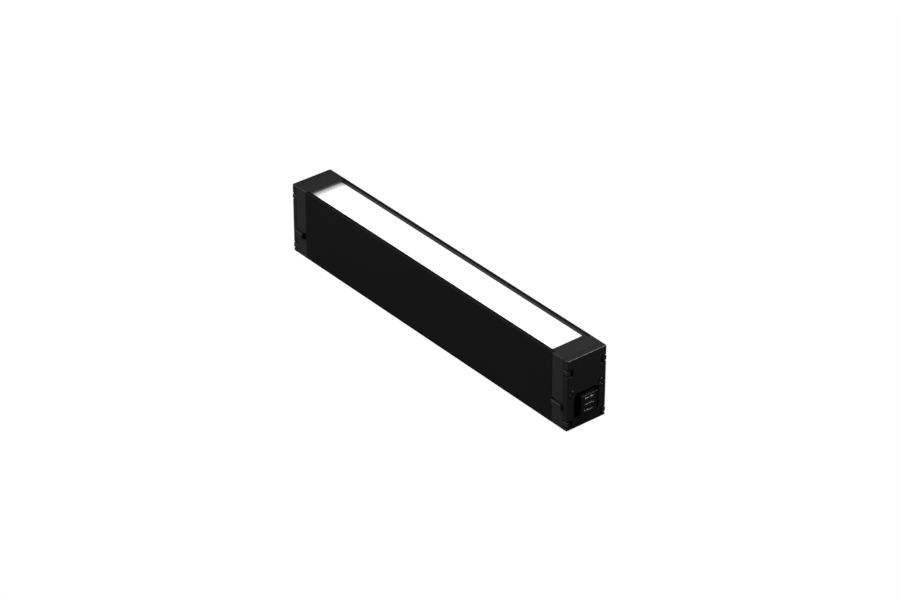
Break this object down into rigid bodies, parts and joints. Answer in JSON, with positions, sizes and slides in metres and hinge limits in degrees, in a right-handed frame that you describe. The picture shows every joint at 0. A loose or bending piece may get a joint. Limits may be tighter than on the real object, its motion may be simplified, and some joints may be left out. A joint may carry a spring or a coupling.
{
  "type": "linkable LED light bar",
  "caption": "Black box-section LED light bar with a recessed opal lens on top, moulded end caps, plug-in link sockets and sprung side latch tabs.",
  "frame": {"origin": "centre of the flat back, between the two ends", "axes": "+X along the bar towards the right end, +Y towards the rear side, +Z out through the lens"},
  "size_m": [0.311, 0.0384, 0.0558],
  "materials": {
    "housing_black": "fine satin powder coat on extruded aluminium",
    "cap_black": "satin injection-moulded polycarbonate",
    "socket_black": "smooth moulded nylon",
    "contact_metal": "tin-plated brass",
    "screw_black": "black zinc plate",
    "opal_lens": "opal acrylic, lit from below",
    "reflector_white": "white enamel",
    "board_white": "white solder mask on aluminium",
    "led_phosphor": "yellow phosphor in white packages",
    "zinc_steel": "bright zinc plate",
    "spring_steel": "blue-grey spring temper",
    "board_green": "green solder mask",
    "insulator_sheet": "grey insulating paper",
    "terminal_green": "moulded nylon",
    "fuse_glass": "nickel-plated caps on a ceramic tube",
    "winding_copper": "enamelled copper wire",
    "film_yellow": "yellow potted case",
    "package_black": "moulded epoxy",
    "sleeve_dark": "shrink sleeve on an aluminium can",
    "sink_aluminium": "plain rolled sheet",
    "ferrite_grey": "ground ferrite",
    "wire_black": "stranded copper in PVC",
    "wire_white": "stranded copper in PVC",
    "wire_green": "stranded copper in PVC",
    "wire_red": "stranded copper in PVC",
    "clip_white": "natural nylon"
  },
  "bodies": {
    "fixture": {"housing": "housing_black", "left_collar": "cap_black", "left_cover": "cap_black", "right_collar": "cap_black", "right_cover": "cap_black", "left_socket": "socket_black", "right_socket": "socket_black", "left_contacts": "contact_metal", "right_contacts": "contact_metal", "left_cap_screws": "screw_black", "right_cap_screws": "screw_black", "lens": "opal_lens", "reflector": "reflector_white", "led_board": "board_white", "led_chips": "led_phosphor", "led_board_screws": "zinc_steel", "mounting_inserts": "zinc_steel", "earth_stud": "zinc_steel", "earth_nut": "zinc_steel", "left_front_spring": "spring_steel", "left_rear_spring": "spring_steel", "right_front_spring": "spring_steel", "right_rear_spring": "spring_steel", "driver_board": "board_green", "driver_insulator": "insulator_sheet", "input_terminal": "terminal_green", "output_terminal": "terminal_green", "line_fuse": "fuse_glass", "filter_choke": "winding_copper", "transformer_coil": "winding_copper", "film_capacitor": "film_yellow", "bridge_rectifier": "package_black", "switch_transistor": "package_black", "bulk_capacitor": "sleeve_dark", "output_capacitor": "sleeve_dark", "heat_sink": "sink_aluminium", "transformer_core": "ferrite_grey", "live_wire": "wire_black", "driver_live_lead": "wire_black", "led_negative_lead": "wire_black", "neutral_wire": "wire_white", "driver_neutral_lead": "wire_white", "earth_wire": "wire_green", "earth_lead": "wire_green", "led_positive_lead": "wire_red", "wire_clips": "clip_white", "earth_lug": "contact_metal"},
    "right_front_tab": {"right_front_latch": "cap_black"},
    "right_rear_tab": {"right_rear_latch": "cap_black"},
    "left_front_tab": {"left_front_latch": "cap_black"},
    "left_rear_tab": {"left_rear_latch": "cap_black"}
  },
  "joints": [
    {"name": "right_front_press", "type": "slide", "parent": "fixture", "child": "right_front_tab", "axis": [0, 1, 0], "range_m": [0, 0.0018], "stiffness_N_per_m": 1500, "springref_m": -0.001, "deforming": ["right_front_spring"]},
    {"name": "right_rear_press", "type": "slide", "parent": "fixture", "child": "right_rear_tab", "axis": [0, -1, 0], "range_m": [0, 0.0018], "stiffness_N_per_m": 1500, "springref_m": -0.001, "deforming": ["right_rear_spring"]},
    {"name": "left_front_press", "type": "slide", "parent": "fixture", "child": "left_front_tab", "axis": [0, 1, 0], "range_m": [0, 0.0018], "stiffness_N_per_m": 1500, "springref_m": -0.001, "deforming": ["left_front_spring"]},
    {"name": "left_rear_press", "type": "slide", "parent": "fixture", "child": "left_rear_tab", "axis": [0, -1, 0], "range_m": [0, 0.0018], "stiffness_N_per_m": 1500, "springref_m": -0.001, "deforming": ["left_rear_spring"]}
  ]
}
